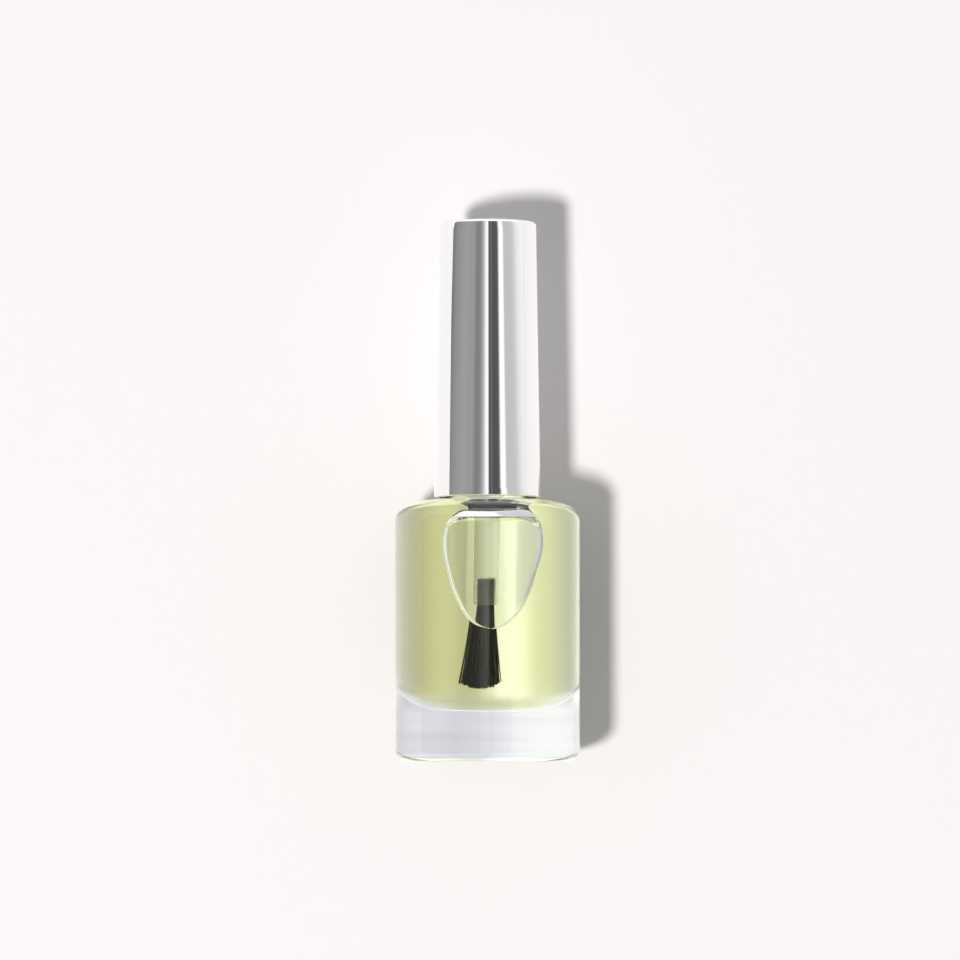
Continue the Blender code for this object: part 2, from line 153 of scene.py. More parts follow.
# Near the ceiling its back is narrower than its front
BUBBLE_WAIST_HEIGHTS = (35.4 * MM, 36.6 * MM)
BUBBLE_WAIST_HALF = 3.3 * MM
BUBBLE_LIP_DEPTH = 0.25 * MM

# Chromed sleeve
SLEEVE_TOP_RADIUS = 7.45 * MM
SLEEVE_WALL = 0.7 * MM
SLEEVE_CROWN = 0.9 * MM
SLEEVE_RIM_BEVEL = 0.5 * MM
SLEEVE_FOOT_EDGE = 0.2 * MM

# Closure inside the sleeve
SPLINE_COUNT = 24
SPLINE_HEIGHT = 0.22 * MM
SPLINE_WIDTH = 0.7 * MM
SPLINE_SIDES = 12
SKIRT_BORE_RADIUS = 6.35 * MM
SKIRT_LEAD_IN = 0.3 * MM
WEB_THICKNESS = 1.4 * MM
HOLLOW_RADIUS = 5.2 * MM
HOLLOW_FLOOR_FILLET = 0.8 * MM

# Brush
STEM_TOP_RADIUS = 2.0 * MM
STEM_END_RADIUS = 1.8 * MM
STEM_HEAD_RADIUS = 3.3 * MM
STEM_FLANGE_THICKNESS = 0.9 * MM
STEM_HEAD_CHAMFER = 0.5 * MM
STEM_END_BEVEL = 0.2 * MM
TUFT_SOCKET_RADIUS = 1.45 * MM
TUFT_SOCKET_DEPTH = 4.2 * MM
SOCKET_GAP = 0.2 * MM
TUFT_ROOT_RADIUS = 1.25 * MM
BRISTLE_COUNT = 420
BRISTLE_RADIUS = 0.055 * MM
BRISTLE_SIDES = 5
BRISTLE_POINTS = 8
BRISTLE_SEED = 7
HAIR_SHARP_DEG = 60.0
BRISTLE_STRAY = 0.34 * MM
TUFT_LEAN = -0.15 * MM
BRUSH_LEAN = -0.016
TUFT_TIP_CROWN = 0.9 * MM
STAPLE_EDGE = 0.06 * MM

# Marks on the materials: how large they are, and how deep
MOULD_WAVE, MOULD_WAVE_DEPTH = 2.4 * MM, 0.02 * MM
ORANGE_PEEL, ORANGE_PEEL_DEPTH = 1.6 * MM, 0.004 * MM
WIPE_MARK = 0.35 * MM
SPARK_GRAIN, SPARK_GRAIN_DEPTH = 0.12 * MM, 0.01 * MM
BLACK_CLOUD = 4.0 * MM
MILKY_CLOUD = 2.5 * MM
HAIR_STREAK = 0.25 * MM
FOAM_CELL, FOAM_CELL_DEPTH = 0.18 * MM, 0.03 * MM
DRAW_LINE = 0.08 * MM

# How glass and oil bend light, and the mirrorings inside glass after which light is let out. Glass under oil
# bends it as between the two, so the oil's own wall bends next to none
GLASS_IOR = 1.52
OIL_IOR = 1.47
NEXT_TO_NO_IOR = 1.001
GLINTS_IN_GLASS = 1.5

# Paper behind the bottle, and the painted glow added to it where metal and glass mirror it
BACKDROP_HALF = 1200.0 * MM
BACKDROP_GAP = 0.05 * MM
PAPER = "#fbf7f6"
PAPER_PAINTED_GLOW = 0.09

# Photograph: one pixel at the object, where the object stands in it, and the camera
PIXEL = 0.15135 * MM
FRAME_PIXELS = 960
AXIS_PIXEL_X = 487.5
BASE_PIXEL_Y = 761.0
HORIZON_PIXEL_Y = 700.0
CAMERA_DISTANCE = 800.0 * MM
CAMERA_NEAR = 10.0 * MM
CAMERA_FAR = 10000.0 * MM
SENSOR_WIDTH = 36.0


def linear(code):
    """A colour written as sRGB hex, turned to linear red, green, blue and alpha."""
    parts = [int(code[place:place + 2], 16) / 255.0 for place in (1, 3, 5)]
    return tuple([p / 12.92 if p <= 0.04045 else ((p + 0.055) / 1.055) ** 2.4 for p in parts] + [1.0])


def add_node(tree, kind, inputs=None, **settings):
    """Add a node, give it its settings, and fill its inputs with values, or link them to sockets or nodes."""
    node = tree.nodes.new(kind)
    for name, value in settings.items():
        setattr(node, name, value)
    for key, value in (inputs or {}).items():
        if isinstance(value, bpy.types.Node):
            value = next(socket for socket in value.outputs if socket.enabled)
        if isinstance(value, bpy.types.NodeSocket):
            tree.links.new(value, node.inputs[key])
        else:
            node.inputs[key].default_value = value
    return node


def math_node(tree, operation, first, second=0.0, third=0.0):
    """One sum on numbers."""
    return add_node(tree, "ShaderNodeMath", {0: first, 1: second, 2: third}, operation=operation)


def vector_split(tree, vector):
    """The three numbers of a vector."""
    return add_node(tree, "ShaderNodeSeparateXYZ", {0: vector}).outputs


def spread(tree, value, low, high, start=0.0, end=1.0):
    """A value between a start and an end, stretched to run from low to high."""
    inputs = {"Value": value, "From Min": start, "From Max": end, "To Min": low, "To Max": high}
    return add_node(tree, "ShaderNodeMapRange", inputs)


def eased(tree, value, start, end):
    """0 before a start and 1 past an end, with a soft run between them."""
    inputs = {"Value": value, "From Min": start, "From Max": end}
    return add_node(tree, "ShaderNodeMapRange", inputs, interpolation_type="SMOOTHSTEP")


def blend(tree, factor, first, second):
    """A colour between two others."""
    return add_node(tree, "ShaderNodeMix", {"Factor": factor, "A": first, "B": second}, data_type="RGBA")


def either(tree, factor, first, second):
    """The first shader where the factor is 0, and the second where it is 1."""
    return add_node(tree, "ShaderNodeMixShader", {0: factor, 1: first, 2: second})


def noise(tree, size, stretch=(1.0, 1.0, 1.0), detail=3.0, roughness=0.5):
    """Noise on the object's own coordinates, whose grains are about the given size in metres."""
    place = add_node(tree, "ShaderNodeTexCoord").outputs["Object"]
    stretched = add_node(tree, "ShaderNodeMapping", {"Vector": place, "Scale": stretch})
    inputs = {"Vector": stretched, "Scale": 1.0 / size, "Detail": detail, "Roughness": roughness}
    return add_node(tree, "ShaderNodeTexNoise", inputs)


def new_material(name):
    """An empty node material and its tree."""
    material = bpy.data.materials.new(name)
    material.use_nodes = True
    material.node_tree.nodes.clear()
    return material, material.node_tree


def plain_surface(material, inputs):
    """Finish a material with one shader that has these inputs."""
    shader = add_node(material.node_tree, "ShaderNodeBsdfPrincipled", inputs)
    add_node(material.node_tree, "ShaderNodeOutputMaterial", {"Surface": shader})
    return material


def flint_glass(name, ior):
    """Flint glass, blown in a mould and fire polished: clear, with the faint waves a mould leaves.

    Light that runs round inside its thick shoulder is let out after a few mirrorings, which keeps it pale."""
    material, tree = new_material(name)
    waves = noise(tree, MOULD_WAVE, (0.35, 0.35, 1.6), detail=2.0)
    bump = add_node(tree, "ShaderNodeBump", {"Height": waves, "Strength": 0.35, "Distance": MOULD_WAVE_DEPTH})
    glass = add_node(tree, "ShaderNodeBsdfPrincipled", {
        "Base Color": linear("#fbfdfb"), "Roughness": 0.0, "IOR": ior,
        "Transmission Weight": 1.0, "Normal": bump,
    })
    mirrorings = add_node(tree, "ShaderNodeLightPath").outputs["Glossy Depth"]
    trapped = math_node(tree, "GREATER_THAN", mirrorings, GLINTS_IN_GLASS)
    let_out = either(tree, trapped, glass, add_node(tree, "ShaderNodeBsdfTransparent"))
    add_node(tree, "ShaderNodeOutputMaterial", {"Surface": let_out})
    return material


def nail_oil(name, ior, filled):
    """Clear vegetable oil: pale yellow green, deeper where the eye looks through more of it."""
    material, tree = new_material(name)
    shaders = {"Surface": add_node(tree, "ShaderNodeBsdfPrincipled", {
        "Base Color": linear("#ffffff"), "Roughness": 0.0, "IOR": ior, "Transmission Weight": 1.0,
    })}
    if filled:
        tint = {"Color": linear("#e0e354"), "Density": OIL_DEPTH_OF_COLOUR}
        shaders["Volume"] = add_node(tree, "ShaderNodeVolumeAbsorption", tint)
    add_node(tree, "ShaderNodeOutputMaterial", shaders)
    return material


def chromed_abs():
    """ABS plated with bright chrome: a cool mirror with a trace of orange peel and fine wipe marks."""
    material, tree = new_material("chromed_abs")
    peel = noise(tree, ORANGE_PEEL, (1.0, 1.0, 0.4), detail=2.0)
    wipes = noise(tree, WIPE_MARK, (1.0, 1.0, 0.06), detail=4.0, roughness=0.6)
    bump = add_node(tree, "ShaderNodeBump", {"Height": peel, "Strength": 0.15, "Distance": ORANGE_PEEL_DEPTH})
    return plain_surface(material, {
        "Base Color": linear("#f2f2f3"),
        "Metallic": 1.0,
        "Roughness": spread(tree, wipes, 0.015, 0.05),
        "Normal": bump,
    })


def moulded_polypropylene():
    """Black polypropylene, injection moulded: a soft sheen with a fine spark-eroded grain."""
    material, tree = new_material("moulded_polypropylene")
    grain = noise(tree, SPARK_GRAIN, detail=2.0)
    bump = add_node(tree, "ShaderNodeBump", {"Height": grain, "Strength": 0.3, "Distance": SPARK_GRAIN_DEPTH})
    return plain_surface(material, {
        "Base Color": blend(tree, noise(tree, BLACK_CLOUD), linear("#0c0c0d"), linear("#161617")),
        "Roughness": spread(tree, grain, 0.32, 0.5),
        "IOR": 1.49,
        "Normal": bump,
    })


def natural_polyethylene():
    """Natural polyethylene, moulded: milky, so that light soaks in and softens its edges."""
    material, tree = new_material("natural_polyethylene")
    cloud = noise(tree, MILKY_CLOUD, (1.0, 1.0, 0.3))
    return plain_surface(material, {
        "Base Color": blend(tree, cloud, linear("#f0f3fb"), linear("#f8fafe")),
        "Roughness": spread(tree, cloud, 0.45, 0.55),
        "IOR": 1.03,
        "Transmission Weight": 0.88,
    })


def nylon_filament():
    """Black nylon filament, drawn: near black, with a thin bright line along each hair."""
    material, tree = new_material("nylon_filament")
    hairs = noise(tree, HAIR_STREAK, (1.0, 1.0, 0.1))
    return plain_surface(material, {
        "Base Color": blend(tree, hairs, linear("#24221c"), linear("#464337")),
        "Roughness": spread(tree, hairs, 0.25, 0.42),
        "IOR": 1.53,
    })


def polyethylene_foam():
    """White polyethylene foam, die cut: matt, pitted by its closed cells."""
    material, tree = new_material("polyethylene_foam")
    place = add_node(tree, "ShaderNodeTexCoord").outputs["Object"]
    cells = add_node(tree, "ShaderNodeTexVoronoi", {"Vector": place, "Scale": 1.0 / FOAM_CELL})
    bump = add_node(tree, "ShaderNodeBump", {"Height": cells, "Strength": 0.5, "Distance": FOAM_CELL_DEPTH})
    return plain_surface(material, {
        "Base Color": blend(tree, cells, linear("#f1f0ec"), linear("#dcdbd5")),
        "Roughness": spread(tree, cells, 0.7, 0.9),
        "IOR": 1.5,
        "Normal": bump,
    })


def tinned_steel():
    """Tinned steel strip, sheared: grey metal with fine draw lines along it."""
    material, tree = new_material("tinned_steel")
    lines = noise(tree, DRAW_LINE, (0.1, 1.0, 1.0), detail=2.0)
    return plain_surface(material, {
        "Base Color": blend(tree, lines, linear("#b9b7b2"), linear("#d2d0cb")),
        "Metallic": 1.0,
        "Roughness": spread(tree, lines, 0.25, 0.45),
    })


def arc(centre, radius, start_deg, end_deg):
    """Points of an arc in the half plane of radius and height, both ends included."""
    steps = max(3, math.ceil(abs(end_deg - start_deg) / ARC_STEP_DEG))
    turns = np.radians(np.linspace(start_deg, end_deg, steps + 1))
    return [(centre[0] + radius * math.cos(turn), centre[1] + radius * math.sin(turn)) for turn in turns]


def rows(start, end, height):
    """Points along a straight stretch of a profile, about one height apart."""
    count = max(1, math.ceil(math.dist(start, end) / height))
    return np.linspace(start, end, count + 1).tolist()


def chain(*stretches):
    """One profile from several stretches, with a point that repeats the last one left out."""
    points = []
    for stretch in stretches:
        for point in stretch:
            if not points or math.dist(point, points[-1]) > SAME_PLACE:
                points.append(point)
    return points


def rounded(before, corner, after, radius):
    """The corner between two straight stretches, as an arc that touches both."""
    corner = Vector(corner)
    back = (Vector(before) - corner).normalized()
    ahead = (Vector(after) - corner).normalized()
    half = back.angle(ahead) / 2.0
    centre = corner + (back + ahead).normalized() * (radius / math.sin(half))
    start = corner + back * (radius / math.tan(half)) - centre
    sweep = (math.pi - 2.0 * half) * (1.0 if back.x * ahead.y < back.y * ahead.x else -1.0)
    start_deg = math.degrees(math.atan2(start.y, start.x))
    return arc(centre, radius, start_deg, start_deg + math.degrees(sweep))


def new_object(name, mesh):
    """Put a mesh in the scene."""
    item = bpy.data.objects.new(name, mesh)
    bpy.context.scene.collection.objects.link(item)
    return item


def turned(name, profile, steps, materials=(), slots=None):
    """A profile of (radius, height) points turned round the axis, with one material slot per stretch.

    The profile runs down its outer side. A point on the axis becomes a pole, and a profile that doesn't start
    there is closed into a ring."""
    vertices = []
    rings = []
    for radius, height in profile:
        count = 1 if radius < SAME_PLACE else steps
        rings.append(range(len(vertices), len(vertices) + count))
        for step in range(count):
            angle = math.tau * step / steps
            vertices.append((radius * math.cos(angle), radius * math.sin(angle), height))
    faces = []
    face_slots = []
    for pair in range(len(rings) - 1 if len(rings[0]) == 1 else len(rings)):
        upper = rings[pair]
        lower = rings[(pair + 1) % len(rings)]
        for step in range(steps):
            after = (step + 1) % steps
            corners = [upper[step % len(upper)], lower[step % len(lower)]]
            corners += [lower[after % len(lower)], upper[after % len(upper)]]
            face = list(dict.fromkeys(corners))
            if len(face) > 2:
                faces.append(face)
                face_slots.append(slots[pair] if slots else 0)
    mesh = bpy.data.meshes.new(name)
    mesh.from_pydata(vertices, [], faces)
    mesh.polygons.foreach_set("material_index", face_slots)
    mesh.update()
    for material in materials:
        mesh.materials.append(material)
    return new_object(name, mesh)


def smooth(item, sharp_deg=SHARP_DEG):
    """Smooth shading with the true corners kept sharp."""
    item.data.shade_smooth()
    item.data.set_sharp_from_angle(angle=math.radians(sharp_deg))
    return item


def geometry_tree(name, inputs):
    """An empty geometry tree with named inputs and their values, each a whole number or a length."""
    tree = bpy.data.node_groups.new(name, "GeometryNodeTree")
    tree.interface.new_socket("Geometry", in_out="INPUT", socket_type="NodeSocketGeometry")
    for label, value in inputs.items():
        kind = "NodeSocketInt" if isinstance(value, int) else "NodeSocketFloat"
        tree.interface.new_socket(label, in_out="INPUT", socket_type=kind).default_value = value
    tree.interface.new_socket("Geometry", in_out="OUTPUT", socket_type="NodeSocketGeometry")
    return tree, add_node(tree, "NodeGroupInput").outputs


def end_tree(tree, given, made, material):
    """Join what a tree made to what came in, as one real mesh in one material."""
    both = add_node(tree, "GeometryNodeJoinGeometry", {0: given["Geometry"]})
    tree.links.new(made.outputs[0], both.inputs[0])
    whole = add_node(tree, "GeometryNodeRealizeInstances", {0: both})
    shown = add_node(tree, "GeometryNodeSetMaterial", {"Geometry": whole, "Material": material})
    add_node(tree, "NodeGroupOutput", {0: shown})
    return tree


def apply_tree(item, tree, values):
    """Run a geometry tree on an object with the given inputs, and keep the result as a plain mesh."""
    modifier = item.modifiers.new(tree.name, "NODES")
    modifier.node_group = tree
    for socket in tree.interface.items_tree:
        if socket.item_type == "SOCKET" and socket.in_out == "INPUT" and socket.name in values:
            modifier[socket.identifier] = values[socket.name]
    bpy.context.view_layer.update()
    graph = bpy.context.evaluated_depsgraph_get()
    mesh = bpy.data.meshes.new_from_object(item.evaluated_get(graph))
    item.modifiers.clear()
    item.data = mesh
    while mesh.materials and mesh.materials[0] is None:
        mesh.materials.pop(index=0)


def thread_tree(materials):
    """A raised screw thread on a turned wall: points between two heights move out along the helix."""
    tree, given = geometry_tree("screw_thread", {
        "Pitch": THREAD_PITCH, "Depth": THREAD_DEPTH, "Turns": THREAD_TURNS, "Foot": 0.0,
        "Wall Radius": NECK_RADIUS,
    })
    calc = partial(math_node, tree)
    place = vector_split(tree, add_node(tree, "GeometryNodeInputPosition"))
    y_squared = calc("MULTIPLY", place["Y"], place["Y"])
    radius = calc("SQRT", calc("MULTIPLY_ADD", place["X"], place["X"], y_squared))
    angle = calc("ARCTAN2", place["Y"], place["X"])
    around = calc("ADD", calc("DIVIDE", angle, math.tau), 0.5)
    height = calc("DIVIDE", calc("SUBTRACT", place["Z"], given["Foot"]), given["Pitch"])
    phase = calc("SUBTRACT", height, around)
    turn = calc("ROUND", phase)
    travelled = calc("ADD", turn, around)
    off_crest = calc("ABSOLUTE", calc("SUBTRACT", phase, turn))
    lift = calc("COMPARE", radius, given["Wall Radius"], THREAD_WALL_MARGIN)
    for share in (
        given["Depth"],
        eased(tree, off_crest, *THREAD_FLANK),
        eased(tree, travelled, 0.0, THREAD_FADE_TURNS),
        eased(tree, calc("SUBTRACT", given["Turns"], travelled), 0.0, THREAD_FADE_TURNS),
    ):
        lift = calc("MULTIPLY", lift, share)
    east, north = [calc("DIVIDE", place[axis], radius) for axis in "XY"]
    outward = add_node(tree, "ShaderNodeCombineXYZ", {0: east, 1: north})
    offset = add_node(tree, "ShaderNodeVectorMath", {0: outward, "Scale": lift}, operation="SCALE")
    moved = add_node(tree, "GeometryNodeSetPosition", {"Geometry": given["Geometry"], "Offset": offset})
    shown = add_node(tree, "GeometryNodeRealizeInstances", {0: moved})
    slot = add_node(tree, "GeometryNodeInputMaterialIndex")
    for number, material in enumerate(materials):
        own = {"Geometry": shown, "Selection": calc("COMPARE", slot, number, 0.5), "Material": material}
        shown = add_node(tree, "GeometryNodeSetMaterial", own)
    add_node(tree, "NodeGroupOutput", {0: shown})
    return tree


def spline_tree(material):
    """Ribs round a tapered wall: one tilted bar, set at even steps round the axis."""
    tree, given = geometry_tree("splines", {
        "Count": SPLINE_COUNT, "Width": SPLINE_WIDTH,
        "Foot Radius": 0.0, "Top Radius": 0.0, "Foot": 0.0, "Top": 0.0,
    })
    line = add_node(tree, "GeometryNodeCurvePrimitiveLine", {
        "Start": add_node(tree, "ShaderNodeCombineXYZ", {0: given["Foot Radius"], 2: given["Foot"]}),
        "End": add_node(tree, "ShaderNodeCombineXYZ", {0: given["Top Radius"], 2: given["Top"]}),
    })
    outline = add_node(tree, "GeometryNodeCurvePrimitiveCircle", {
        "Resolution": SPLINE_SIDES, "Radius": math_node(tree, "DIVIDE", given["Width"], 2.0),
    }, mode="RADIUS")
    tube = {"Curve": line, "Profile Curve": outline, "Fill Caps": True}
    bar = add_node(tree, "GeometryNodeCurveToMesh", tube)
    points = add_node(tree, "GeometryNodePoints", {"Count": given["Count"]})
    index = add_node(tree, "GeometryNodeInputIndex")
    turn = math_node(tree, "MULTIPLY", math_node(tree, "DIVIDE", index, given["Count"]), math.tau)
    placed = add_node(tree, "GeometryNodeInstanceOnPoints", {
        "Points": points, "Instance": bar, "Rotation": add_node(tree, "ShaderNodeCombineXYZ", {2: turn}),
    })
    return end_tree(tree, given, placed, material)


def bristle_tree(material):
    """Hairs rooted like sunflower seeds on a disc, which fan out, lean and stray towards their tips."""
    tree, given = geometry_tree("bristles", {
        "Count": BRISTLE_COUNT, "Root Radius": TUFT_ROOT_RADIUS, "Tip Radius": 0.0, "Root Height": 0.0,
        "Tip Height": 0.0, "Hair Radius": BRISTLE_RADIUS, "Stray": BRISTLE_STRAY, "Lean": TUFT_LEAN,
        "Crown": TUFT_TIP_CROWN, "Seed": BRISTLE_SEED,
    })
    calc = partial(math_node, tree)
    index = add_node(tree, "GeometryNodeInputIndex")
    share = calc("DIVIDE", calc("ADD", index, 0.5), given["Count"])
    reach = calc("SUBTRACT", given["Root Radius"], given["Hair Radius"])
    radius = calc("MULTIPLY", calc("SQRT", share), reach)
    angle = calc("MULTIPLY", index, math.pi * (3.0 - math.sqrt(5.0)))
    root = add_node(tree, "ShaderNodeCombineXYZ", {
        0: calc("MULTIPLY", radius, calc("COSINE", angle)),
        1: calc("MULTIPLY", radius, calc("SINE", angle)),
        2: given["Root Height"],
    })
    marked = add_node(tree, "GeometryNodePoints", {"Count": given["Count"], "Position": root})
    stray_range = {"Min": (-1.0, -1.0, 0.0), "Max": (1.0, 1.0, 1.0), "Seed": given["Seed"]}
    stray = add_node(tree, "FunctionNodeRandomValue", stray_range, data_type="FLOAT_VECTOR")
    kept = {"stray": (stray, "FLOAT_VECTOR"), "share": (share, "FLOAT")}
    for name, (value, kind) in kept.items():
        own = {"Geometry": marked, "Name": name, "Value": value}
        marked = add_node(tree, "GeometryNodeStoreNamedAttribute", own, data_type=kind, domain="POINT")
    hair_line = add_node(tree, "GeometryNodeCurvePrimitiveLine", {"End": (0.0, 0.0, -1.0)})
    hair = add_node(tree, "GeometryNodeResampleCurve", {"Curve": hair_line, "Count": BRISTLE_POINTS})
    placed = add_node(tree, "GeometryNodeInstanceOnPoints", {"Points": marked, "Instance": hair})
    whole = add_node(tree, "GeometryNodeRealizeInstances", {0: placed})
    place = vector_split(tree, add_node(tree, "GeometryNodeInputPosition"))
    along = calc("SUBTRACT", given["Root Height"], place["Z"])
    own_stray, own_share = [
        add_node(tree, "GeometryNodeInputNamedAttribute", {"Name": name}, data_type=kind)
        for name, (value, kind) in kept.items()
    ]
    sway = vector_split(tree, own_stray)
    fan = calc("SUBTRACT", calc("DIVIDE", given["Tip Radius"], given["Root Radius"]), 1.0)
    widen = calc("MULTIPLY_ADD", fan, along, 1.0)
    bend = calc("MULTIPLY", calc("POWER", along, 2.0), given["Stray"])
    lean = calc("MULTIPLY", calc("POWER", along, 1.5), given["Lean"])
    full = calc("SUBTRACT", given["Root Height"], given["Tip Height"])
    crown = calc("MULTIPLY", own_share, given["Crown"])
    uneven = calc("MULTIPLY", sway["Z"], given["Stray"])
    length = calc("SUBTRACT", calc("SUBTRACT", full, crown), uneven)
    bent = [calc("MULTIPLY_ADD", place[axis], widen, calc("MULTIPLY", bend, sway[axis])) for axis in "XY"]
    drop = calc("SUBTRACT", given["Root Height"], calc("MULTIPLY", along, length))
    new_place = add_node(tree, "ShaderNodeCombineXYZ", {0: calc("ADD", bent[0], lean), 1: bent[1], 2: drop})
    fanned = add_node(tree, "GeometryNodeSetPosition", {"Geometry": whole, "Position": new_place})
    outline = add_node(tree, "GeometryNodeCurvePrimitiveCircle", {
        "Resolution": BRISTLE_SIDES, "Radius": given["Hair Radius"],
    }, mode="RADIUS")
    tube = {"Curve": fanned, "Profile Curve": outline, "Fill Caps": True}
    hairs = add_node(tree, "GeometryNodeCurveToMesh", tube)
    return end_tree(tree, given, hairs, material)


def cavity_ceiling(inset):
    """The cavity's ceiling and the sloped corner under it, drawn in by an inset, from the throat outwards."""
    land = NECK_BORE_RADIUS + THROAT_FLARE_RADIUS
    top = CEILING_HEIGHT - inset
    wall = CAVITY_RADIUS - inset
    slope_top = (wall - CORNER_SLOPE_WIDTH, top - CORNER_SLOPE_DROP)
    slope_foot = (wall, slope_top[1] - CORNER_SLOPE_HEIGHT)
    wall_below = (wall, slope_foot[1] - CORNER_SLOPE_HEIGHT)
    reach = slope_top[0] - land
    dome_radius = (reach ** 2 + CORNER_SLOPE_DROP ** 2) / (2.0 * CORNER_SLOPE_DROP)
    dome_deg = math.degrees(math.asin(reach / dome_radius))
    dome = arc((land, top - dome_radius), dome_radius, 90.0, 90.0 - dome_deg)
    return chain(
        dome[:-1],
        rounded(dome[-2], slope_top, slope_foot, CORNER_SLOPE_EDGE),
        rounded(slope_top, slope_foot, wall_below, CORNER_SLOPE_EDGE),
    )


def cavity_profile(inset, top):
    """The cavity's wall, drawn in by an inset: down from a height in the neck's bore to the floor."""
    flare_centre = (NECK_BORE_RADIUS + THROAT_FLARE_RADIUS, CEILING_HEIGHT + THROAT_FLARE_RADIUS)
    flare = arc(flare_centre, THROAT_FLARE_RADIUS + inset, 180.0, 270.0)
    ceiling = cavity_ceiling(inset)
    heel_centre = (CAVITY_RADIUS - CAVITY_HEEL_RADIUS, BASE_THICKNESS + CAVITY_HEEL_RADIUS)
    heel = arc(heel_centre, CAVITY_HEEL_RADIUS - inset, 0.0, -90.0)
    bore = rows((NECK_BORE_RADIUS - inset, top), flare[0], WALL_ROW_HEIGHT)
    wall = rows(ceiling[-1], heel[0], WALL_ROW_HEIGHT)
    floor = rows(heel[-1], (0.0, BASE_THICKNESS + inset), WALL_ROW_HEIGHT)
    return chain(bore, flare, ceiling, wall, heel, floor)


def shoulder_profile():
    """The shoulder from its flat land to the side wall: a wide dome that runs into a tight corner."""
    reach = SHOULDER_DOME_RADIUS - SHOULDER_CORNER_RADIUS
    lean = math.asin((BOTTLE_RADIUS - SHOULDER_CORNER_RADIUS - SHOULDER_LAND_RADIUS) / reach)
    dome_foot = SHOULDER_TOP - SHOULDER_DOME_RADIUS
    corner_centre = (BOTTLE_RADIUS - SHOULDER_CORNER_RADIUS, dome_foot + reach * math.cos(lean))
    join_deg = 90.0 - math.degrees(lean)
    dome = arc((SHOULDER_LAND_RADIUS, dome_foot), SHOULDER_DOME_RADIUS, 90.0, join_deg)
    return chain(dome, arc(corner_centre, SHOULDER_CORNER_RADIUS, join_deg, 0.0))


def build_glass():
    """The bottle: one turned wall with its screw thread, wetted inside as far as the oil stands."""
    inside = list(reversed(cavity_profile(0.0, OIL_LEVEL)))
    inner_lip = (NECK_BORE_RADIUS + LIP_FILLET, NECK_TOP - LIP_FILLET)
    outer_lip = (NECK_RADIUS - LIP_FILLET, NECK_TOP - LIP_FILLET)
    neck_foot = (NECK_RADIUS + NECK_FOOT_FILLET, SHOULDER_TOP + NECK_FOOT_FILLET)
    neck = rows((NECK_RADIUS, NECK_TOP - LIP_FILLET), (NECK_RADIUS, neck_foot[1]), THREAD_ROW_HEIGHT)
    shoulder = shoulder_profile()
    heel = arc((BOTTLE_RADIUS - HEEL_RADIUS, HEEL_RADIUS), HEEL_RADIUS, 0.0, -90.0)
    wall = rows(shoulder[-1], heel[0], WALL_ROW_HEIGHT)
    ring_inside = BOTTLE_RADIUS - HEEL_RADIUS - STANDING_RING_WIDTH
    push_up = [(ring_inside, 0.0), (ring_inside - PUSH_UP_EDGE, PUSH_UP_HEIGHT), (0.0, PUSH_UP_HEIGHT)]
    dry = chain(
        [inside[-1]],
        arc(inner_lip, LIP_FILLET, 180.0, 90.0),
        arc(outer_lip, LIP_FILLET, 90.0, 0.0),
        neck,
        arc(neck_foot, NECK_FOOT_FILLET, 180.0, 270.0),
        shoulder,
        wall,
        heel,
        push_up,
    )
    profile = chain(inside, dry)
    slots = [1] * (len(inside) - 1) + [0] * (len(profile) - len(inside))
    iors = {"flint_glass": GLASS_IOR, "flint_glass_under_oil": GLASS_IOR / OIL_IOR}
    materials = [flint_glass(name, ior) for name, ior in iors.items()]
    glass = turned("bottle_glass", profile, BODY_STEPS, materials, slots)
    apply_tree(glass, thread_tree(materials), {"Foot": THREAD_FOOT})
    return smooth(glass)


def bubble_slice(wall, back, half, edge, pinch, middle_deg, height):
    """A level slice of the bubble: along the wall, round one edge, across its back, round the other.

    A pinch makes the back narrower than the front."""
    reach = wall - edge
    lean = min(math.acos(min(1.0, (back + edge) / reach)), math.asin((half - edge) / reach))
    front = np.linspace(-lean, lean, BUBBLE_FRONT_STEPS + 1)
    points = [(wall * math.sin(turn), -wall * math.cos(turn)) for turn in front]
    side_x = reach * math.sin(lean)
    front_y = -reach * math.cos(lean)
    front_edge = (side_x, front_y, lean, math.pi / 2.0)
    back_edge = (side_x - pinch, -back - edge, math.pi / 2.0, math.pi)
    side = []
    for centre_x, centre_y, start, end in (front_edge, back_edge):
        for turn in np.linspace(start, end, BUBBLE_EDGE_STEPS + 1):
            side.append((centre_x + edge * math.sin(turn), centre_y - edge * math.cos(turn)))
    lip_y = min(front_y + BUBBLE_LIP_DEPTH, -back - edge)
    side.insert(BUBBLE_EDGE_STEPS + 1, (side_x - pinch + edge, lip_y))
    across = np.linspace(side_x - pinch, pinch - side_x, BUBBLE_BACK_STEPS + 1)[1:-1]
    points += side[1:] + [(x, -back) for x in across] + [(-x, y) for x, y in reversed(side[1:])]
    middle = math.radians(middle_deg)
    return [
        (x * math.cos(middle) - y * math.sin(middle), x * math.sin(middle) + y * math.cos(middle), height)
        for x, y in points
    ]


def smoothed(values, step, length):
    """Values at even steps, each one the mean of its neighbours over a length."""
    reach = max(1, round(length / step / 2.0))
    blur = np.hanning(2 * reach + 1)
    return np.convolve(np.pad(values, reach, "reflect", reflect_type="odd"), blur / blur.sum(), "valid")


